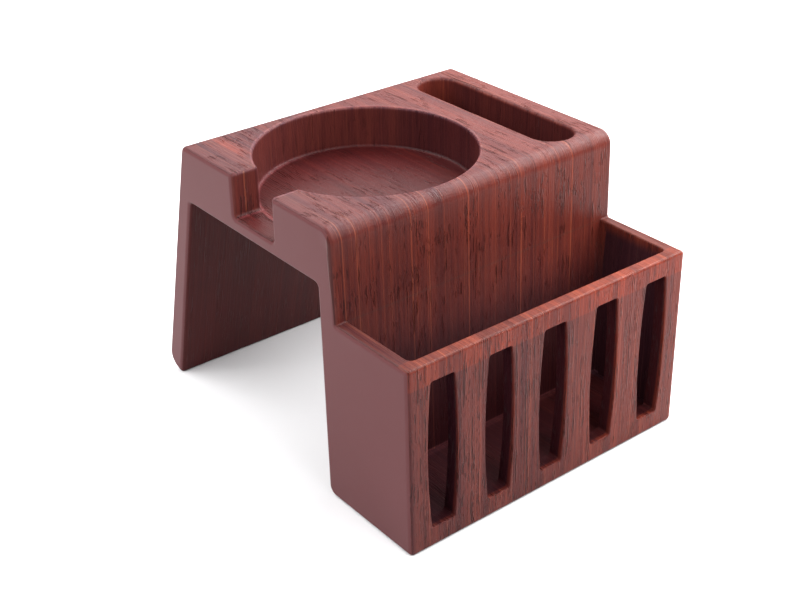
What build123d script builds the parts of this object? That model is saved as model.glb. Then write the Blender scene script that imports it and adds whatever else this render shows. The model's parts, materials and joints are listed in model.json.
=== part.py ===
"""Saddle caddy for a sofa arm: round cup recess, phone slot and open-front side basket.

Millimetres, +Z up.  X runs along the sofa arm, +Y is the splayed rear leg, -Y the basket front.
The origin is the middle of the footprint, on the surface that the caddy stands on.
The real article is one soft moulding.  Its full form is drawn once, with every radius, and then
parted along its natural boundaries into named regions, each a solid of its own.
"""

import os
from math import atan2, pi, sin, tan

from build123d import *

# ---- driving dimensions -------------------------------------------------------------------
LENGTH = 150.0

# saddle: deck, tunnel and two legs, seen from the end
DECK_FRONT_Y = -45.8
DECK_WIDTH = 107.0
DECK_HEIGHT = 124.0
CEILING_HEIGHT = 98.0
FRONT_LEG_LEAN = 4.0
TUNNEL_FRONT_TOP = 9.9
TUNNEL_FRONT_TOE = 8.2
TUNNEL_REAR_TOP = 103.8
TUNNEL_REAR_TOE = 128.3
REAR_LEG_SPLAY = 33.0
REAR_TOE_RISE = 4.0

# basket
BASKET_HEIGHT = 84.5
BASKET_REACH_TOP = 44.9
BASKET_REACH_FOOT = 46.1
BASKET_FLOOR = 7.0
END_WALL = 6.0
FRONT_WALL = 5.8

# windows in the basket front
WINDOW_COUNT = 5
WINDOW_PITCH = 29.0
WINDOW_SILL = 9.0
WINDOW_HEAD = 76.1
WINDOW_END_WIDTH = 11.6
WINDOW_BELLY = 1.75

# cup recess, handle notch and phone slot in the deck
RECESS_DEPTH = 19.5
CUP_X = -16.6
CUP_DIAMETER = 95.0
NOTCH_WIDTH = 28.7
SLOT_X = 54.7
SLOT_LENGTH = 93.4
SLOT_WIDTH = 21.0
FEATURE_Y = DECK_FRONT_Y + 54.2

# corner radii of the end outline
FOOT_RADIUS = 1.4
RIM_OUTER_RADIUS = 1.4
RIM_ROOT_RADIUS = 0.8
DECK_FRONT_RADIUS = 6.5
DECK_REAR_RADIUS = 3.5
REAR_TOE_RADIUS = 7.0
REAR_TOE_INNER_RADIUS = 1.5
CEILING_RADIUS = 1.8
FRONT_TOE_RADIUS = 4.5

# edge radii
END_ARRIS = 2.0
RECESS_ARRIS = 1.0
RECESS_COVE = 1.6
SLOT_ARRIS = 1.6
CAVITY_CORNER = 2.5
CAVITY_ARRIS = 0.8
WINDOW_CORNER = 1.2
WINDOW_ARRIS = 0.5

# ---- derived levels and lines -------------------------------------------------------------
HALF = LENGTH / 2
RECESS_FLOOR = DECK_HEIGHT - RECESS_DEPTH
TUNNEL_MIDDLE_Y = DECK_FRONT_Y + DECK_WIDTH / 2
FRONT_INNER_Y = DECK_FRONT_Y - BASKET_REACH_TOP + FRONT_WALL
DECK_SPLIT_X = (CUP_X + CUP_DIAMETER / 2 + SLOT_X - SLOT_WIDTH / 2) / 2
WINDOW_XS = [(i - (WINDOW_COUNT - 1) / 2) * WINDOW_PITCH for i in range(WINDOW_COUNT)]
LEG_FACE = Plane(
    origin=(0, DECK_FRONT_Y, DECK_HEIGHT),
    x_dir=(1, 0, 0),
    z_dir=(0, -DECK_HEIGHT, FRONT_LEG_LEAN),
)
TOLERANCE_MM = 1e-3
LAST_X = HALF - TOLERANCE_MM


def leg_front_y(z):
    """Y of the front leg's outer face at height z; it leans out towards the floor."""
    return DECK_FRONT_Y - FRONT_LEG_LEAN * (DECK_HEIGHT - z) / DECK_HEIGHT


def rear_outer_y(z):
    """Y of the rear leg's outer face at height z."""
    return DECK_FRONT_Y + DECK_WIDTH + REAR_LEG_SPLAY * (DECK_HEIGHT - z) / DECK_HEIGHT


def lies_on(edge, level, axis="Z"):
    """Whether the edge runs in the plane at this level of this axis."""
    return all(abs(getattr(edge @ t, axis) - level) < TOLERANCE_MM for t in (0, 0.5, 1))


def is_window_corner(edge):
    """Whether an edge along Y is a corner of a window, not one of the basket floor or rim."""
    centre = edge.center()
    within_wall = centre.Y < FRONT_INNER_Y and edge.length < 2 * FRONT_WALL
    return within_wall and WINDOW_SILL - 1 < centre.Z < WINDOW_HEAD + 1


def is_deck_opening(edge, low_x, high_x):
    """Whether an edge bounds an opening in the deck between two X values, ends left out."""
    centre = edge.center()
    return abs(centre.Y - FEATURE_Y) < CUP_DIAMETER / 2 and low_x < centre.X < high_x


def rounded_toe_lift():
    """How far rounding the rear leg's inner toe lifts it off the floor."""
    sole_angle = atan2(REAR_TOE_RISE, rear_outer_y(REAR_TOE_RISE) - DECK_FRONT_Y - TUNNEL_REAR_TOE)
    wall_angle = atan2(CEILING_HEIGHT, TUNNEL_REAR_TOP - TUNNEL_REAR_TOE)
    middle_angle = (sole_angle + wall_angle) / 2
    return REAR_TOE_INNER_RADIUS * (sin(middle_angle) / sin(middle_angle - sole_angle) - 1)


def ceiling_edge(top, toe, inward):
    """Upright plane where the flat ceiling meets its rounding into one wall of the tunnel."""
    flare = atan2(abs(top - toe), CEILING_HEIGHT)
    flat_from = CEILING_RADIUS * tan((pi / 2 - flare) / 2)
    return Plane.XZ.offset(-(DECK_FRONT_Y + top + inward * flat_from))


# ---- the whole moulded form ---------------------------------------------------------------
TOE_LIFT = rounded_toe_lift()
CEILING_FRONT = ceiling_edge(TUNNEL_FRONT_TOP, TUNNEL_FRONT_TOE, 1)
CEILING_REAR = ceiling_edge(TUNNEL_REAR_TOP, TUNNEL_REAR_TOE, -1)

# (y, z, radius) round the end outline, starting at the basket's front foot
OUTLINE = [
    (DECK_FRONT_Y - BASKET_REACH_FOOT, 0, FOOT_RADIUS),
    (DECK_FRONT_Y - BASKET_REACH_TOP, BASKET_HEIGHT, RIM_OUTER_RADIUS),
    (leg_front_y(BASKET_HEIGHT), BASKET_HEIGHT, RIM_ROOT_RADIUS),
    (DECK_FRONT_Y, DECK_HEIGHT, DECK_FRONT_RADIUS),
    (DECK_FRONT_Y + DECK_WIDTH, DECK_HEIGHT, DECK_REAR_RADIUS),
    (rear_outer_y(REAR_TOE_RISE), REAR_TOE_RISE - TOE_LIFT, REAR_TOE_RADIUS),
    (DECK_FRONT_Y + TUNNEL_REAR_TOE, -TOE_LIFT, REAR_TOE_INNER_RADIUS),
    (DECK_FRONT_Y + TUNNEL_REAR_TOP, CEILING_HEIGHT, CEILING_RADIUS),
    (DECK_FRONT_Y + TUNNEL_FRONT_TOP, CEILING_HEIGHT, CEILING_RADIUS),
    (DECK_FRONT_Y + TUNNEL_FRONT_TOE, 0, FRONT_TOE_RADIUS),
]

# basket cavity: its back is the leaning face of the front leg
with BuildPart() as cavity:
    with BuildSketch(Plane.YZ.offset(END_WALL - HALF)):
        Polygon(
            (FRONT_INNER_Y, BASKET_FLOOR),
            (leg_front_y(BASKET_FLOOR), BASKET_FLOOR),
            (DECK_FRONT_Y, DECK_HEIGHT),
            (FRONT_INNER_Y, DECK_HEIGHT),
            align=None,
        )
    extrude(amount=LENGTH - 2 * END_WALL)
    front_corners = cavity.faces().sort_by(Axis.Y)[0].edges().filter_by(Axis.Z)
    fillet(front_corners, CAVITY_CORNER)

with BuildPart() as moulding:
    # end outline, run along the whole length, less the basket cavity
    with BuildSketch(Plane.YZ.offset(-HALF)):
        with BuildLine():
            corners = [(y, z) for y, z, _ in OUTLINE]
            FilletPolyline(*corners, radius=[r for _, _, r in OUTLINE], close=True)
        make_face()
    extrude(amount=LENGTH)
    add(cavity.part, mode=Mode.SUBTRACT)

    # cup recess with the notch for a mug handle, and the phone slot
    with BuildSketch(Plane.XY.offset(DECK_HEIGHT)):
        with Locations((CUP_X, FEATURE_Y)):
            Circle(CUP_DIAMETER / 2)
        with Locations((CUP_X - HALF, TUNNEL_MIDDLE_Y)):
            Rectangle(LENGTH, NOTCH_WIDTH)
        with Locations((SLOT_X, FEATURE_Y)):
            SlotOverall(SLOT_LENGTH, SLOT_WIDTH, rotation=90)
    extrude(amount=-RECESS_DEPTH, mode=Mode.SUBTRACT)

    # windows with bowed sides through the basket front
    with BuildSketch(Plane.XZ.offset(-FRONT_INNER_Y)):
        for x in WINDOW_XS:
            left = x - WINDOW_END_WIDTH / 2
            right = x + WINDOW_END_WIDTH / 2
            with BuildLine():
                Line((left, WINDOW_SILL), (right, WINDOW_SILL))
                SagittaArc((right, WINDOW_SILL), (right, WINDOW_HEAD), -WINDOW_BELLY)
                Line((right, WINDOW_HEAD), (left, WINDOW_HEAD))
                SagittaArc((left, WINDOW_HEAD), (left, WINDOW_SILL), -WINDOW_BELLY)
            make_face()
    extrude(amount=3 * FRONT_WALL, mode=Mode.SUBTRACT)
    fillet(moulding.edges().filter_by(Axis.Y).filter_by(is_window_corner), WINDOW_CORNER)

    # cove round the recess floor, then the arris of both ends, the recess and the notch
    floor_edges = moulding.edges().filter_by(lambda e: lies_on(e, RECESS_FLOOR))
    fillet(floor_edges.filter_by(lambda e: is_deck_opening(e, -LAST_X, DECK_SPLIT_X)), RECESS_COVE)
    end_edges = moulding.edges().filter_by(lambda e: lies_on(e, -HALF, "X") or lies_on(e, HALF, "X"))
    fillet(end_edges, END_ARRIS)
    top_edges = moulding.edges().filter_by(lambda e: lies_on(e, DECK_HEIGHT))
    recess_edges = top_edges.filter_by(lambda e: is_deck_opening(e, -LAST_X, DECK_SPLIT_X))
    fillet(recess_edges, RECESS_ARRIS)

    # softer mouth of the phone slot
    top_edges = moulding.edges().filter_by(lambda e: lies_on(e, DECK_HEIGHT))
    fillet(top_edges.filter_by(lambda e: is_deck_opening(e, DECK_SPLIT_X, LAST_X)), SLOT_ARRIS)

    # inner edge of the basket rim and outer edges of the windows
    rim_edges = moulding.edges().filter_by(lambda e: lies_on(e, BASKET_HEIGHT))
    fillet(rim_edges.filter_by(lambda e: (e @ 0).Y > FRONT_INNER_Y - TOLERANCE_MM), CAVITY_ARRIS)
    front_faces = moulding.faces().filter_by(lambda f: f.center().Y < FRONT_INNER_Y - FRONT_WALL / 2)
    front_face = front_faces.sort_by(SortBy.AREA)[-1]
    fillet([e for wire in front_face.inner_wires() for e in wire.edges()], WINDOW_ARRIS)

# ---- deck: the ring round the cup and the frame round the phone ---------------------------
with BuildPart() as deck:
    add(moulding.part)
    split(bisect_by=Plane.XY.offset(RECESS_FLOOR), keep=Keep.TOP)

with BuildPart() as cup_ring:
    add(deck.part)
    split(bisect_by=Plane.YZ.offset(DECK_SPLIT_X), keep=Keep.BOTTOM)
cup_ring.part.label = "cup_ring"

with BuildPart() as phone_frame:
    add(deck.part)
    split(bisect_by=Plane.YZ.offset(DECK_SPLIT_X), keep=Keep.TOP)
phone_frame.part.label = "phone_frame"

# ---- saddle under the deck: the floor plate over the tunnel and a leg on each side --------
with BuildPart() as below_deck:
    add(moulding.part)
    split(bisect_by=Plane.XY.offset(RECESS_FLOOR), keep=Keep.BOTTOM)

with BuildPart() as saddle:
    add(below_deck.part)
    split(bisect_by=LEG_FACE, keep=Keep.BOTTOM)

with BuildPart() as front_leg:
    add(saddle.part)
    split(bisect_by=CEILING_FRONT, keep=Keep.TOP)
front_leg.part.label = "front_leg"

with BuildPart() as rear_leg:
    add(saddle.part)
    split(bisect_by=CEILING_REAR, keep=Keep.BOTTOM)
rear_leg.part.label = "rear_leg"

with BuildPart() as deck_floor:
    add(saddle.part)
    split(bisect_by=CEILING_FRONT, keep=Keep.BOTTOM)
    split(bisect_by=CEILING_REAR, keep=Keep.TOP)
deck_floor.part.label = "deck_floor"

# ---- basket: floor and two end walls behind the front frame -------------------------------
with BuildPart() as basket:
    add(below_deck.part)
    split(bisect_by=LEG_FACE, keep=Keep.TOP)

with BuildPart() as basket_back:
    add(basket.part)
    split(bisect_by=Plane.XZ.offset(-FRONT_INNER_Y), keep=Keep.BOTTOM)

with BuildPart() as basket_floor:
    add(basket_back.part)
    split(bisect_by=Plane.XY.offset(BASKET_FLOOR), keep=Keep.BOTTOM)
basket_floor.part.label = "basket_floor"

with BuildPart() as basket_left_end:
    add(basket_back.part)
    split(bisect_by=Plane.XY.offset(BASKET_FLOOR), keep=Keep.TOP)
    split(bisect_by=Plane.YZ, keep=Keep.BOTTOM)
basket_left_end.part.label = "basket_left_end"

with BuildPart() as basket_right_end:
    add(basket_back.part)
    split(bisect_by=Plane.XY.offset(BASKET_FLOOR), keep=Keep.TOP)
    split(bisect_by=Plane.YZ, keep=Keep.TOP)
basket_right_end.part.label = "basket_right_end"

# ---- basket front frame: two rails, a post at each end and the slats between the windows --
with BuildPart() as front_frame:
    add(basket.part)
    split(bisect_by=Plane.XZ.offset(-FRONT_INNER_Y), keep=Keep.TOP)

with BuildPart() as front_bottom_rail:
    add(front_frame.part)
    split(bisect_by=Plane.XY.offset(WINDOW_SILL), keep=Keep.BOTTOM)
front_bottom_rail.part.label = "front_bottom_rail"

with BuildPart() as front_top_rail:
    add(front_frame.part)
    split(bisect_by=Plane.XY.offset(WINDOW_HEAD), keep=Keep.TOP)
front_top_rail.part.label = "front_top_rail"

with BuildPart() as uprights:
    add(front_frame.part)
    split(bisect_by=Plane.XY.offset(WINDOW_SILL), keep=Keep.TOP)
    split(bisect_by=Plane.XY.offset(WINDOW_HEAD), keep=Keep.BOTTOM)

slat_names = [f"front_slat_{i}" for i in range(1, WINDOW_COUNT)]
upright_names = ["front_left_post"] + slat_names + ["front_right_post"]
upright_parts = []
for name, solid in zip(upright_names, uprights.solids().sort_by(Axis.X)):
    with BuildPart() as upright:
        add(solid)
    upright.part.label = name
    upright_parts.append(upright.part)

# ---- write one STEP for each piece --------------------------------------------------------
pieces = [
    deck_floor.part,
    cup_ring.part,
    phone_frame.part,
    rear_leg.part,
    front_leg.part,
    basket_floor.part,
    basket_left_end.part,
    basket_right_end.part,
    front_bottom_rail.part,
    front_top_rail.part,
] + upright_parts
os.makedirs("parts", exist_ok=True)
for piece in pieces:
    export_step(piece, f"parts/{piece.label}.step")
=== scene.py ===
"""Looks of the sofa arm caddy: rosewood-grained moulding, pale floor, soft studio light, camera.

Blender works in metres; the grain is described in millimetres, in the CAD model's own frame.
"""

import json
import math
from collections import namedtuple

import bpy
from mathutils import Matrix, Vector


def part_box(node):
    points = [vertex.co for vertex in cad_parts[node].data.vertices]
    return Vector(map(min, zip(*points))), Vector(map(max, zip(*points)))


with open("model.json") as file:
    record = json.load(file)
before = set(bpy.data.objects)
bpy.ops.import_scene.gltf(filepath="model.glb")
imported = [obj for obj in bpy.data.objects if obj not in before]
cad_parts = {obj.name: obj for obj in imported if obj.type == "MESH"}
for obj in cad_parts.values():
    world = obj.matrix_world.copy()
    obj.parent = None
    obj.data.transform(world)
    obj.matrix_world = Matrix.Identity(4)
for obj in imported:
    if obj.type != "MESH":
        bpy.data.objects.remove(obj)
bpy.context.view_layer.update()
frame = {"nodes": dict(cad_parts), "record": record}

# ---- the object's own levels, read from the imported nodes, in millimetres --------------------
MM = 1000.0
RING_LOW, RING_HIGH = (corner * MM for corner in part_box("cup_ring"))
FRAME_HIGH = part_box("phone_frame")[1] * MM
LEG_LOW, LEG_HIGH = (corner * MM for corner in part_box("front_leg"))
FLOOR_LOW, FLOOR_HIGH = (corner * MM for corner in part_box("deck_floor"))
RAIL_LOW, RAIL_HIGH = (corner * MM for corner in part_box("front_top_rail"))
CUP_MOUNT = next(m for m in frame["record"]["mounts"] if m["name"] == "cup_recess")
CUP_CENTRE = Vector(CUP_MOUNT["pos_m"]) * MM
CUP_RADIUS = CUP_MOUNT["dims"]["r_mm"]
HALF = FRAME_HIGH.x
DECK_TOP = RING_HIGH.z
DECK_FRONT = RING_LOW.y
RECESS_FLOOR = RING_LOW.z
CEILING = FLOOR_LOW.z
BASKET_TOP = RAIL_HIGH.z

# ---- places that the boxes don't give, in millimetres ---------------------------------------
REAR_LEAN = 0.25  # back for each millimetre down
REAR_LEG_FROM = 30.0
REAR_LEG_TO = 50.0
TUNNEL_BACK_TOP = FLOOR_HIGH.y + 1.4
NOTCH_Y = DECK_FRONT + 53.5
NOTCH_HALF = 14.35
NOTCH_CORNER_X = CUP_CENTRE.x - math.sqrt(CUP_RADIUS**2 - NOTCH_HALF**2)
SLOT_X = 54.7
SLOT_HALF = 10.5
SLOT_REACH = 46.0
SLOT_FRONT = CUP_CENTRE.y - 46.7
SLOT_BACK = CUP_CENTRE.y + 44.0
SILL_LINE = 7.6

# the print: where its boldest marks lie; it is one layer down to SKIN, and changes below that
BOLD_LINES_X = (-69.6, -63.0, -36.6, -27.9, -7.2, 21.8, 51.0)
NOTCH_LINE_X = -68.6
WARM_PATCH_X = -59.1
WARM_PATCH_Y = 47.0
SKIN = 8.0
LAYERS_PER_MM = 0.09


def rgb(red, green, blue):
    """A display colour, 0 to 255 each, as the linear colour that a shader takes."""
    linear = [
        c / 12.92 if c <= 0.04045 else ((c + 0.055) / 1.055) ** 2.4
        for c in (red / 255, green / 255, blue / 255)
    ]
    return (*linear, 1.0)


# ---- colours of the print, and of the plain end faces ---------------------------------------
DARK_BAND = rgb(58, 23, 26)
LIGHT_BAND = rgb(91, 39, 34)
STREAK = rgb(118, 58, 46)
FIBRE = rgb(46, 17, 17)
GLOW = rgb(142, 74, 54)
CUT = rgb(42, 13, 12)
PLAIN_LOW = rgb(86, 47, 48)
PLAIN_HIGH = rgb(91, 51, 53)

# factors on red, green and blue where the print is tinted, and where light, sheen, highlights and
# shade are painted into it
# painted light: outer faces lighter and warmer towards the right, where a lamp stands close
RIGHT_SIDE_PAINTED_LIGHT = (1.44, 1.22, 0.98)
# painted light: the deck warmer and brighter from its middle towards the right
DECK_MIDDLE_PAINTED_LIGHT = (1.16, 1.08, 1.0)
# painted light and sheen: the deck's right part lighter and paler
DECK_RIGHT_PAINTED_LIGHT = (1.22, 1.32, 1.26)
WARM_RAIL = (1.46, 1.20, 0.94)
WARM_PATCH = (1.70, 1.40, 1.10)
# painted sheen: the deck paler and bluer, standing in for its reflection
DECK_PAINTED_SHEEN = (1.02, 1.32, 1.55)
LEFT_WALL_SHADE = (0.92, 0.86, 0.84)
HIGH_WALL_SHADE = (1.0, 0.80, 0.66)
RIM_SHADE = (0.90, 1.16, 1.20)
STRIP_SHADE = (0.55, 0.52, 0.58)
SLOT_SHADE = (0.42, 0.46, 0.62)
CUP_WALL_SHADE = (0.54, 0.50, 0.62)
INSIDE_SHADE = (0.68, 0.46, 0.52)
BASKET_SHADE = (0.40, 0.44, 0.70)
RIGHT_END_SHADE = (0.80, 1.20, 1.45)
WINDOW_SHADE = (0.62, 0.62, 0.75)
CORNER_LIGHT = (3.2, 4.4, 4.2)
EDGE_LIGHT = (1.9, 2.7, 3.0)

# ---- finish of the moulding -----------------------------------------------------------------
SPECULAR = 0.13
RELIEF_METRES = 0.0005
GRAINED_ROUGHNESS = 0.34
FIBRE_ROUGHNESS = 0.14
BEND_ROUGHNESS = -0.06
PLAIN_ROUGHNESS = 0.46


class Shader:
    """A material under construction: adds nodes and wires them up in one call each."""

    def __init__(self, name):
        self.material = bpy.data.materials.new(name)
        self.material.use_nodes = True
        self.tree = self.material.node_tree
        self.tree.nodes.clear()

    def node(self, kind, inputs=None, **settings):
        node = self.tree.nodes.new(kind)
        for key, value in settings.items():
            setattr(node, key, value)
        for key, value in (inputs or {}).items():
            self.feed(node.inputs[key], value)
        return node

    def feed(self, socket, value):
        if isinstance(value, bpy.types.NodeSocket):
            self.tree.links.new(value, socket)
        else:
            socket.default_value = value

    def math(self, operation, a, b=0.0):
        return self.node("ShaderNodeMath", {0: a, 1: b}, operation=operation).outputs[0]

    def chain(self, operation, values):
        result = values[0]
        for value in values[1:]:
            result = self.math(operation, result, value)
        return result

    def add(self, *terms):
        return self.chain("ADD", terms)

    def times(self, *factors):
        return self.chain("MULTIPLY", factors)

    def most(self, *values):
        return self.chain("MAXIMUM", values)

    def minus(self, a, b):
        return self.math("SUBTRACT", a, b)

    def size(self, value):
        return self.math("ABSOLUTE", value)

    def split(self, vector):
        return self.node("ShaderNodeSeparateXYZ", {0: vector}).outputs[:]

    def join(self, x, y, z):
        return self.node("ShaderNodeCombineXYZ", {0: x, 1: y, 2: z}).outputs[0]

    def step(self, value, low, high):
        """0 below low, 1 above high, and smooth between; low may lie above high."""
        inputs = {"Value": value, "From Min": low, "From Max": high}
        kind = {"interpolation_type": "SMOOTHSTEP", "clamp": True}
        return self.node("ShaderNodeMapRange", inputs, **kind).outputs["Result"]

    def near(self, value, centre, far, close):
        """1 where the value is nearer to the centre than close, 0 where it is beyond far."""
        return self.step(self.size(self.add(value, -centre)), far, close)

    def noise(self, vector, detail=2.0, roughness=0.5):
        inputs = {"Vector": vector, "Scale": 1.0, "Detail": detail, "Roughness": roughness}
        return self.node("ShaderNodeTexNoise", inputs).outputs["Fac"]

    def mix(self, factor, a, b):
        """Colour a where the factor is 0, and b where it is 1."""
        return self.mixed("RGBA", (0, 6, 7), 2, factor, a, b)

    def blend(self, factor, a, b):
        """Number a where the factor is 0, and b where it is 1."""
        return self.mixed("FLOAT", (0, 2, 3), 0, factor, a, b)

    def mixed(self, data_type, sockets, output, factor, a, b):
        """The mix node has its own sockets and output for each type of data."""
        node = self.node("ShaderNodeMix", data_type=data_type, clamp_factor=True)
        for socket, value in zip(sockets, (factor, a, b)):
            self.feed(node.inputs[socket], value)
        return node.outputs[output]

    def tinted(self, colour, mask, factors):
        """The colour multiplied by these red, green and blue factors where the mask is 1."""
        scale = self.mix(mask, (1.0, 1.0, 1.0, 1.0), (*factors, 1.0))
        kind = {"operation": "MULTIPLY"}
        return self.node("ShaderNodeVectorMath", {0: colour, 1: scale}, **kind).outputs[0]


# ---- where a point lies ---------------------------------------------------------------------
# x, y and z in the CAD frame and radius from the cup's axis, in millimetres; across and along
# the grain, in millimetres; the layer number; and 1 on the cup's upright wall
Point = namedtuple("Point", "x y z radius across along layer on_cup_wall")


def shaded_point(s):
    """The point being shaded.

    Streaks run along Y over flat faces and down upright ones, and turn over the deck's front
    edge without a break. Round the cup recess, across is the way round its wall. Faces at
    other depths lie in other layers, so that they don't repeat the deck's streaks.
    """
    coordinates = s.node("ShaderNodeTexCoord")
    x, y, z = (s.times(c, MM) for c in s.split(coordinates.outputs["Object"]))
    normal = s.split(coordinates.outputs["Normal"])
    steepness = s.size(normal[2])
    faces_x = s.math("GREATER_THAN", s.size(normal[0]), 0.6)
    faces_up = s.math("GREATER_THAN", steepness, 0.7)
    upright = s.math("LESS_THAN", steepness, 0.7)

    from_x = s.add(x, -CUP_CENTRE.x)
    from_y = s.add(y, -CUP_CENTRE.y)
    radius = s.math("SQRT", s.add(s.times(from_x, from_x), s.times(from_y, from_y)))
    near_wall = s.math("LESS_THAN", s.size(s.add(radius, -CUP_RADIUS)), 1.2)
    above_floor = s.math("GREATER_THAN", z, RECESS_FLOOR)
    on_cup_wall = s.times(near_wall, upright, above_floor)
    round_wall = s.times(s.math("ARCTAN2", from_y, from_x), CUP_RADIUS)

    # faces that turn away from Y get their own stretch of the pattern
    across = s.blend(faces_x, x, s.add(y, 300.0))
    across = s.blend(on_cup_wall, across, s.add(round_wall, 700.0))
    turned = s.most(faces_x, on_cup_wall)
    along = s.blend(turned, s.add(y, z, -DECK_FRONT - DECK_TOP), z)

    # the rear leg leans, so its faces are set upright before their layer is read
    below_top = s.add(DECK_TOP, s.times(z, -1.0))
    lean = s.times(s.step(y, REAR_LEG_FROM, REAR_LEG_TO), below_top, REAR_LEAN)
    upright_y = s.add(y, s.times(lean, -1.0))
    behind_front = s.add(s.size(s.add(upright_y, -DECK_FRONT)), -SKIN)
    below_deck = s.add(DECK_TOP - SKIN, s.times(z, -1.0))
    depth = s.most(s.blend(faces_up, behind_front, below_deck), 0.0)
    layer = s.times(depth, LAYERS_PER_MM)
    return Point(x, y, z, radius, across, along, layer, on_cup_wall)


# ---- masks: 1 inside the place that each one names, 0 outside -------------------------------
def hollows(s, p):
    """Two masks: the floors and the tunnel, which take painted shade, and where the relief is calm."""
    in_cup = s.step(p.radius, CUP_RADIUS + 0.8, CUP_RADIUS - 0.2)
    in_notch = s.times(
        s.near(p.y, NOTCH_Y, NOTCH_HALF + 0.8, NOTCH_HALF - 0.2),
        s.step(p.x, CUP_CENTRE.x + 1.0, CUP_CENTRE.x - 1.0),
    )
    in_slot = s.times(
        s.near(p.x, SLOT_X, SLOT_HALF + 1.2, SLOT_HALF - 0.2),
        s.near(p.y, CUP_CENTRE.y, SLOT_REACH + 1.5, SLOT_REACH),
    )
    in_deck = s.most(in_cup, in_notch, in_slot)
    sunken = s.times(in_deck, s.step(p.z, DECK_TOP - 0.6, DECK_TOP - 1.8))
    on_floor = s.times(in_deck, s.step(p.z, RECESS_FLOOR + 2.5, RECESS_FLOOR + 0.5))

    below_ceiling = s.add(CEILING, s.times(p.z, -1.0))
    tunnel_back = s.add(TUNNEL_BACK_TOP, s.times(below_ceiling, REAR_LEAN))
    in_tunnel = s.times(
        s.step(p.y, LEG_HIGH.y - 2.6, LEG_HIGH.y - 1.6),
        s.step(p.y, s.add(tunnel_back, 1.6), s.add(tunnel_back, 0.8)),
        s.step(p.z, CEILING + 1.0, CEILING + 0.4),
    )
    open_floor = s.times(on_floor, s.blend(in_notch, 0.4, 0.9))
    calm = s.most(s.minus(sunken, open_floor), in_tunnel)
    return s.most(on_floor, in_tunnel), calm


def slot_wall(s, p):
    """The long walls of the phone slot, which take the darkest painted shade."""
    return s.times(
        s.near(p.x, SLOT_X, SLOT_HALF + 1.2, SLOT_HALF + 0.2),
        s.step(p.y, SLOT_BACK, SLOT_BACK - 8.0),
        s.step(p.y, SLOT_FRONT - 1.0, SLOT_FRONT),
        s.step(p.z, DECK_TOP - 0.8, DECK_TOP - 2.4),
        s.step(p.z, RECESS_FLOOR - 1.0, RECESS_FLOOR),
    )


def in_basket(s, p):
    """Deep in the basket and on the sides of its windows, fading out towards the rim."""
    on_leg = s.step(p.y, LEG_LOW.y - 1.5, LEG_LOW.y - 0.5)
    darkest = s.blend(on_leg, BASKET_TOP - 6.0, BASKET_TOP - 36.0)
    return s.times(
        s.step(p.y, RAIL_LOW.y + 0.6, RAIL_LOW.y + 1.6),
        s.step(p.y, LEG_LOW.y + 5.5, LEG_LOW.y + 4.5),
        s.step(p.z, BASKET_TOP - 0.3, darkest),
    )


def basket_corner(s, p):
    """The basket's inner corner with the leg, where a thin painted highlight runs."""
    return s.times(
        s.near(p.z, SILL_LINE, 0.8, 0.2),
        s.step(p.y, LEG_LOW.y - 2.5, LEG_LOW.y - 1.5),
        s.step(p.y, LEG_LOW.y + 9.0, LEG_LOW.y + 6.0),
    )


def basket_rim(s, p):
    """The flat top of the basket's rim."""
    return s.times(
        s.step(p.z, BASKET_TOP - 0.8, BASKET_TOP - 0.3),
        s.step(p.y, LEG_LOW.y + 8.0, LEG_LOW.y + 4.0),
        s.step(p.z, BASKET_TOP + 0.5, BASKET_TOP + 0.1),
    )


def window_sides(s, p):
    """The sides of the windows, which take painted shade."""
    return s.times(
        s.step(p.y, RAIL_LOW.y + 0.8, RAIL_LOW.y + 1.8),
        s.step(p.y, RAIL_HIGH.y, RAIL_HIGH.y - 0.4),
        s.step(p.z, SILL_LINE + 2.0, SILL_LINE + 3.0),
        s.step(p.z, RAIL_LOW.z, RAIL_LOW.z - 0.5),
    )


def rail_zone(s, p):
    """The basket's front wall above the windows, where the print is more orange."""
    on_front = s.step(p.y, RAIL_HIGH.y + 0.6, RAIL_HIGH.y + 0.2)
    return s.times(on_front, s.step(p.z, RAIL_LOW.z - 0.9, RAIL_LOW.z - 0.3))


def recess_edges(s, p):
    """Rims and feet of recess and notch, where a painted highlight runs; half as strong on the rims.
    """
    from_notch = s.add(s.size(s.add(p.y, -NOTCH_Y)), -NOTCH_HALF - 0.3)
    past_notch = s.size(from_notch)
    cup_rim = s.near(p.radius, CUP_RADIUS + 0.4, 1.0, 0.4)
    notch_rim = s.times(s.step(past_notch, 1.0, 0.4), s.step(p.x, -50.0, -60.0))
    rim = s.times(s.most(cup_rim, notch_rim), s.step(p.z, DECK_TOP - 1.5, DECK_TOP - 0.9))

    near_side = s.step(p.x, CUP_CENTRE.x + 10.0, CUP_CENTRE.x - 20.0)
    cup_foot = s.times(s.near(p.radius, CUP_RADIUS - 1.0, 1.2, 0.5), near_side)
    notch_foot = s.times(s.near(from_notch, -1.3, 0.9, 0.4), s.step(p.x, -58.0, -62.0))
    low = s.times(
        s.step(p.z, RECESS_FLOOR + 2.2, RECESS_FLOOR + 1.4),
        s.step(p.z, RECESS_FLOOR - 1.0, RECESS_FLOOR),
    )
    foot = s.times(s.most(cup_foot, notch_foot), low)

    corner = s.times(
        s.near(p.x, NOTCH_CORNER_X, 0.9, 0.4),
        s.step(past_notch, 1.0, 0.6),
        s.step(p.z, RECESS_FLOOR - 0.5, RECESS_FLOOR + 0.5),
        s.step(p.z, DECK_TOP, DECK_TOP - 1.0),
    )
    return s.most(s.times(rim, 0.5), foot, s.times(corner, 0.5))


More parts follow.
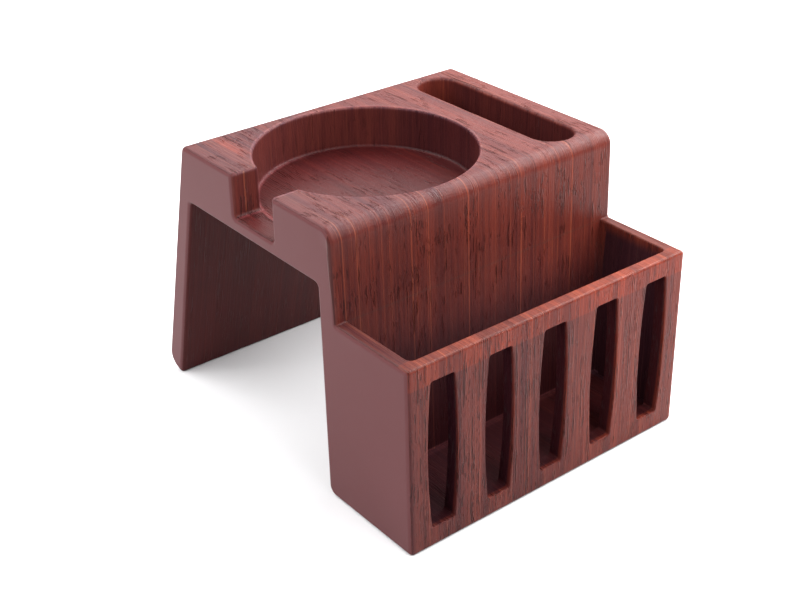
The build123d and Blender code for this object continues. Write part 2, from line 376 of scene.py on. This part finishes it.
def notch_line(s, p):
    """The pale line down the notch's rear wall."""
    return s.times(
        s.near(p.x, NOTCH_LINE_X, 0.6, 0.2),
        s.near(p.y, NOTCH_Y + NOTCH_HALF, 1.2, 0.6),
        s.step(p.z, RECESS_FLOOR + 0.5, RECESS_FLOOR + 2.0),
        s.step(p.z, DECK_TOP + 1.0, DECK_TOP),
    )


def warm_patch(s, p):
    """A streak on the deck behind the handle notch, where the print turns orange."""
    return s.times(
        s.near(p.x, WARM_PATCH_X, 3.4, 0.8),
        s.near(p.y, WARM_PATCH_Y, 17.0, 4.0),
        s.step(p.z, DECK_TOP - 1.0, DECK_TOP - 0.5),
    )


def corner_strip(s, p):
    """Where the deck front's grain wraps onto the end faces, in a strip that widens upwards."""
    width = s.add(0.5, s.times(s.step(p.z, BASKET_TOP, DECK_TOP - 8.0), 2.3))
    past_edge = s.add(p.y, -DECK_FRONT, s.times(width, -1.0))
    above_basket = s.step(p.z, BASKET_TOP - 0.5, BASKET_TOP + 0.5)
    return s.times(s.step(past_edge, 0.3, -0.3), above_basket)


def front_bend(s, p):
    """The rounding between the deck and its front wall, where the relief is smooth."""
    high = s.step(p.z, DECK_TOP - 9.0, DECK_TOP - 6.0)
    return s.times(high, s.step(p.y, DECK_FRONT + 9.0, DECK_FRONT + 5.0))


def leg_wall(s, p):
    """The upright wall from the deck's front edge down to the basket's floor."""
    before_deck = s.step(p.y, DECK_FRONT + 1.0, DECK_FRONT)
    return s.times(before_deck, s.step(p.y, LEG_LOW.y - 2.0, LEG_LOW.y))


# ---- the grain ------------------------------------------------------------------------------
class Grain:
    """Noise, lines and cracks that run with the grain through one point."""

    def __init__(self, s, p):
        self.s = s
        self.p = p
        # printed colour runs straight; the moulded relief wanders a little across it
        swing = s.add(self.noise(30.0, 70.0, shift=5.0), -0.5)
        ripple = s.add(self.noise(4.0, 9.0, detail=1.0, shift=7.0), -0.5)
        self.wavy = s.add(p.across, s.times(swing, 7.0), s.times(ripple, 1.4))

    def noise(self, width, length, detail=2.0, roughness=0.5, shift=0.0, line=None):
        """Noise stretched along the grain: streaks about this wide and this long."""
        s, p = self.s, self.p
        across = p.across if line is None else line
        place = s.join(s.times(across, 1 / width), s.times(p.along, 1 / length), s.add(p.layer, shift))
        return s.noise(place, detail, roughness)

    def lines(self, spacing, thickness, share, shift, line=None):
        """Long thin lines with the grain, unevenly spaced: 1 along their middles, and the lips."""
        s, p = self.s, self.p
        across = p.across if line is None else line
        slab = s.times(s.math("ROUND", p.layer), 0.37)
        place = s.add(s.times(across, 1 / spacing), slab, shift)
        inputs = {"W": place, "Scale": 1.0, "Randomness": 1.0}
        cells = s.node("ShaderNodeTexVoronoi", inputs, voronoi_dimensions="1D")
        chosen = s.math("LESS_THAN", s.split(cells.outputs["Color"])[0], share)
        reach = 0.5 * thickness / spacing
        middle = s.times(s.step(cells.outputs["Distance"], reach, 0.3 * reach), chosen)
        lips = s.times(s.step(cells.outputs["Distance"], 2.6 * reach, 1.2 * reach), chosen)
        return middle, lips

    def cracks(self, spacing, thickness, length, shift, amount):
        """Broken chains of open pores: lines that noise of this length interrupts."""
        s = self.s
        middle, lips = self.lines(spacing, thickness, 0.6, shift, self.wavy)
        gaps = self.noise(spacing, length, detail=1.0, shift=shift, line=self.wavy)
        present = s.times(s.step(gaps, 0.48, 0.58), amount)
        return s.times(middle, present), s.times(lips, present)


def glowing_lines(s, p, grain, inside):
    """The print's orange lines: the bold ones over deck and front wall, and those deeper in."""
    nearest = s.size(s.add(p.across, -BOLD_LINES_X[0]))
    for position in BOLD_LINES_X[1:]:
        nearest = s.math("MINIMUM", nearest, s.size(s.add(p.across, -position)))
    bold = s.times(s.step(nearest, 0.42, 0.12), s.math("LESS_THAN", p.layer, 0.5))
    deep = s.times(grain.lines(13.0, 0.6, 0.45, 53.3)[0], 0.6, s.math("GREATER_THAN", p.layer, 0.5))
    broken = s.step(grain.noise(9.0, 60.0, shift=83.0), 0.22, 0.46)
    return s.times(s.most(bold, deep), broken, s.blend(inside, 1.0, 0.3))


def open_pores(s, p, grain, calm):
    """The cracks of the moulded relief and their raised lips.

    There are three sizes of crack. They crowd together in patches, and more so on the basket's
    front and over the deck's front edge towards the right.
    """
    on_front = s.step(p.y, RAIL_HIGH.y + 0.6, RAIL_HIGH.y - 1.0)
    over_edge = s.times(
        s.step(p.z, DECK_TOP - 36.0, DECK_TOP - 14.0),
        s.step(p.y, 0.0, DECK_FRONT + 16.0),
        s.step(p.x, -50.0, -15.0),
    )
    worked = s.add(s.most(s.times(on_front, 0.8), over_edge), s.times(rail_zone(s, p), 0.6))
    patches = grain.noise(10.0, 26.0, detail=1.0, shift=43.0)
    clusters = grain.noise(6.0, 13.0, detail=1.0, shift=47.0)
    cracked = s.step(s.add(patches, s.times(worked, 0.08)), 0.51, 0.60)
    crowded = s.step(s.add(clusters, s.times(worked, 0.06)), 0.50, 0.64)
    pored = s.blend(s.most(crowded, s.times(on_front, 0.7)), 0.10, 0.8)

    long_cracks, long_lips = grain.cracks(2.4, 0.66, 13.0, 61.1, cracked)
    short_cracks, short_lips = grain.cracks(1.6, 0.62, 7.0, 67.9, crowded)
    pores, pore_lips = grain.cracks(1.1, 0.50, 3.2, 71.3, pored)
    cuts = s.most(long_cracks, short_cracks, s.times(pores, 0.8))
    lips = s.most(long_lips, short_lips, s.times(pore_lips, 0.6))
    relieved = s.times(
        s.blend(calm, 1.0, 0.30),
        s.blend(front_bend(s, p), 1.0, 0.25),
        s.blend(basket_rim(s, p), 1.0, 0.3),
    )
    return s.times(cuts, relieved), s.times(lips, relieved)


def tinted_by_place(s, p, tone, cuts, inside, basket, on_deck):
    """The print's colour with the tints that it takes from place to place, and with painted light,
    sheen, highlights and shade.
    """
    open_air = s.minus(1.0, s.most(inside, p.on_cup_wall))
    # painted light: the outer faces get lighter towards the right
    rightwards = s.times(s.step(p.x, -HALF, HALF - 20.0), open_air)
    on_leg = leg_wall(s, p)
    right_of_cup = s.step(p.x, CUP_CENTRE.x + 32.0, CUP_CENTRE.x + 46.0)
    tints = (
        (s.times(rightwards, s.minus(1.0, on_deck)), RIGHT_SIDE_PAINTED_LIGHT),
        # painted light and sheen on the deck, growing towards the right
        (s.times(s.step(p.x, 20.0, HALF - 20.0), on_deck), DECK_RIGHT_PAINTED_LIGHT),
        (s.times(s.step(p.x, -40.0, 20.0), on_deck), DECK_MIDDLE_PAINTED_LIGHT),
        (rail_zone(s, p), WARM_RAIL),
        (warm_patch(s, p), WARM_PATCH),
        (s.times(on_leg, s.step(p.x, HALF - 10.0, -HALF + 20.0)), LEFT_WALL_SHADE),
        (s.times(on_leg, s.step(p.z, BASKET_TOP + 6.0, DECK_TOP - 14.0)), HIGH_WALL_SHADE),
        (basket_rim(s, p), RIM_SHADE),
        # painted sheen on the deck, kept off its cracks
        (s.times(on_deck, s.minus(1.0, s.times(cuts, 0.7))), DECK_PAINTED_SHEEN),
        (slot_wall(s, p), SLOT_SHADE),
        (s.times(p.on_cup_wall, right_of_cup), CUP_WALL_SHADE),
        (inside, INSIDE_SHADE),
        (basket, BASKET_SHADE),
        (s.times(basket, s.step(p.x, HALF - 9.0, HALF - 8.0)), RIGHT_END_SHADE),
        (window_sides(s, p), WINDOW_SHADE),
        (basket_corner(s, p), CORNER_LIGHT),
        (recess_edges(s, p), EDGE_LIGHT),
    )
    for mask, factors in tints:
        tone = s.tinted(tone, mask, factors)
    return tone


def rosewood():
    """Satin moulded elastomer with rosewood grain, plain on the two end faces."""
    s = Shader("rosewood_moulding")
    p = shaded_point(s)
    grain = Grain(s, p)
    inside, calm = hollows(s, p)
    basket = in_basket(s, p)
    calm = s.most(calm, s.times(basket, 0.8))
    on_deck = s.step(p.z, DECK_TOP - 2.5, DECK_TOP - 0.5)
    cuts, lips = open_pores(s, p, grain, calm)

    wide_bands = grain.noise(13.0, 400.0, detail=1.0, shift=11.0)
    bands = grain.noise(3.4, 300.0, detail=3.0, roughness=0.6, shift=17.0)
    streaks = grain.noise(0.9, 90.0, detail=3.0, roughness=0.6, shift=23.0)
    fibres = grain.noise(0.45, 12.0, detail=2.0, roughness=0.6, shift=31.0, line=grain.wavy)

    # orange lines stand out on the front wall and fade on the deck behind it
    fading = s.step(p.y, DECK_FRONT + 4.0, DECK_FRONT + 16.0)
    glow_lines = s.times(glowing_lines(s, p, grain, inside), s.blend(fading, 1.0, 0.45))
    faint_lines = s.times(
        grain.lines(4.6, 0.5, 0.7, 59.7)[0],
        s.step(grain.noise(5.0, 40.0, shift=89.0), 0.35, 0.60),
        s.blend(fading, 1.0, 0.4),
        s.blend(calm, 1.0, 0.4),
    )

    narrow = s.times(s.step(bands, 0.32, 0.68), 0.6)
    banding = s.add(narrow, s.times(s.step(wide_bands, 0.35, 0.65), 0.4))
    banding = s.blend(s.times(calm, 0.6), banding, 0.55)
    streaking = s.times(s.step(streaks, 0.40, 0.75), s.blend(calm, 0.30, 0.15))
    tone = s.mix(banding, DARK_BAND, LIGHT_BAND)
    tone = s.mix(streaking, tone, STREAK)
    tone = s.mix(s.times(s.step(fibres, 0.55, 0.30), 0.25), tone, FIBRE)
    tone = s.mix(s.times(faint_lines, 0.30), tone, GLOW)
    tone = s.mix(s.times(glow_lines, 0.44), tone, GLOW)
    tone = s.mix(s.times(notch_line(s, p), 0.45), tone, GLOW)
    tone = s.mix(s.times(cuts, s.blend(on_deck, 0.75, 0.55)), tone, CUT)
    tone = tinted_by_place(s, p, tone, cuts, inside, basket, on_deck)

    # the two end faces are plain, apart from a strip at the deck's front corner
    end = s.step(s.size(p.x), HALF - 0.75, HALF - 0.45)
    strip = s.times(end, corner_strip(s, p))
    tone = s.tinted(tone, strip, STRIP_SHADE)
    plain_end = s.minus(end, strip)
    mottle = s.noise(s.join(s.times(p.y, 1 / 30), s.times(p.z, 1 / 30), s.times(p.x, 0.1)), detail=3.0)
    colour = s.mix(plain_end, tone, s.mix(mottle, PLAIN_LOW, PLAIN_HIGH))

    raised = s.add(s.times(fibres, 0.30), s.times(streaks, 0.25), s.times(lips, 0.35))
    grained = s.add(raised, s.times(cuts, -1.0))
    smooth = s.times(s.noise(s.join(p.x, p.y, p.z)), 0.02)
    relief = s.blend(plain_end, grained, smooth)
    bump = s.node("ShaderNodeBump", {"Height": relief, "Strength": 1.0, "Distance": RELIEF_METRES})
    grained_roughness = s.add(GRAINED_ROUGHNESS, s.times(fibres, FIBRE_ROUGHNESS))
    roughness = s.blend(plain_end, grained_roughness, PLAIN_ROUGHNESS)
    surface = s.node(
        "ShaderNodeBsdfPrincipled",
        {
            "Base Color": colour,
            "Roughness": s.add(roughness, s.times(front_bend(s, p), BEND_ROUGHNESS)),
            "Specular IOR Level": SPECULAR,
            "Normal": bump.outputs["Normal"],
        },
    )
    s.node("ShaderNodeOutputMaterial", {"Surface": surface.outputs["BSDF"]})
    return s.material


moulding = rosewood()
for node in frame["nodes"].values():
    node.data.materials.clear()
    node.data.materials.append(moulding)

# ---- floor ----------------------------------------------------------------------------------
FLOOR_COLOUR = (0.7, 0.7, 0.71, 1)
FLOOR_HALF = 4.0


def plain_floor():
    s = Shader("floor_white")
    surface = s.node("ShaderNodeBsdfPrincipled", {"Base Color": FLOOR_COLOUR, "Roughness": 0.6})
    s.node("ShaderNodeOutputMaterial", {"Surface": surface.outputs["BSDF"]})
    mesh = bpy.data.meshes.new("floor")
    signs = ((-1, -1), (1, -1), (1, 1), (-1, 1))
    mesh.from_pydata([(i * FLOOR_HALF, j * FLOOR_HALF, 0) for i, j in signs], [], [(0, 1, 2, 3)])
    mesh.materials.append(s.material)
    floor = bpy.data.objects.new("floor", mesh)
    bpy.context.scene.collection.objects.link(floor)


plain_floor()

# ---- light: a ring of softboxes and a small lamp at the right -------------------------------
LIT_POINT = Vector((0, 0, 0.06))
RING_DISTANCE = 1.2
RING_SIZE = 0.9
WORLD_STRENGTH = 0.05

# name, direction from the lit point, distance in metres, side in metres, watts
LAMPS = (
    ("back_left", (-1.0, 1.0, 1.4), RING_DISTANCE, RING_SIZE, 14.5),
    ("left", (-1.0, -0.1, 0.8), RING_DISTANCE, RING_SIZE, 10.0),
    ("front", (0.2, -1.0, 1.0), RING_DISTANCE, RING_SIZE, 14.0),
    ("right", (1.0, 0.0, 1.0), RING_DISTANCE, RING_SIZE, 24.0),
    ("back_right", (0.8, 1.0, 1.2), RING_DISTANCE, RING_SIZE, 9.5),
    ("back", (-0.1, 1.0, 0.9), RING_DISTANCE, RING_SIZE, 5.0),
    ("right_front", (1.0, -0.35, 0.55), 0.45, 0.25, 1.7),
)

for name, direction, distance, side, power in LAMPS:
    lamp = bpy.data.lights.new(name, "AREA")
    lamp.shape = "RECTANGLE"
    lamp.size = side
    lamp.size_y = side
    lamp.energy = power
    lamp_object = bpy.data.objects.new(name, lamp)
    lamp_object.location = LIT_POINT + Vector(direction).normalized() * distance
    towards = LIT_POINT - lamp_object.location
    lamp_object.rotation_euler = towards.to_track_quat("-Z", "Y").to_euler()
    bpy.context.scene.collection.objects.link(lamp_object)

world = bpy.data.worlds.new("studio")
world.use_nodes = True
background = world.node_tree.nodes["Background"]
background.inputs["Color"].default_value = (1, 1, 1, 1)
background.inputs["Strength"].default_value = WORLD_STRENGTH
bpy.context.scene.world = world
bpy.context.scene.view_settings.view_transform = "Standard"

# ---- camera ---------------------------------------------------------------------------------
AZIMUTH = math.radians(-38.02)
ELEVATION = math.radians(29.35)
ROLL = math.radians(-0.93)
CAMERA_DISTANCE = 0.58336
CAMERA_TARGET = Vector((-0.01631, -0.01063, 0.06))
SENSOR = 36.0
FOCAL = 61.17

back = Vector(
    (
        math.sin(AZIMUTH) * math.cos(ELEVATION),
        -math.cos(AZIMUTH) * math.cos(ELEVATION),
        math.sin(ELEVATION),
    )
)
right = Vector((math.cos(AZIMUTH), math.sin(AZIMUTH), 0))
up = back.cross(right)
rolled_right = math.cos(ROLL) * right + math.sin(ROLL) * up
rolled_up = math.cos(ROLL) * up - math.sin(ROLL) * right
camera_data = bpy.data.cameras.new("camera")
camera_data.sensor_width = SENSOR
camera_data.lens = FOCAL
camera_data.clip_start = 0.01
camera = bpy.data.objects.new("camera", camera_data)
bpy.context.scene.collection.objects.link(camera)
turn = Matrix((rolled_right, rolled_up, back)).transposed()
camera.matrix_world = Matrix.Translation(CAMERA_TARGET + CAMERA_DISTANCE * back) @ turn.to_4x4()
bpy.context.scene.camera = camera
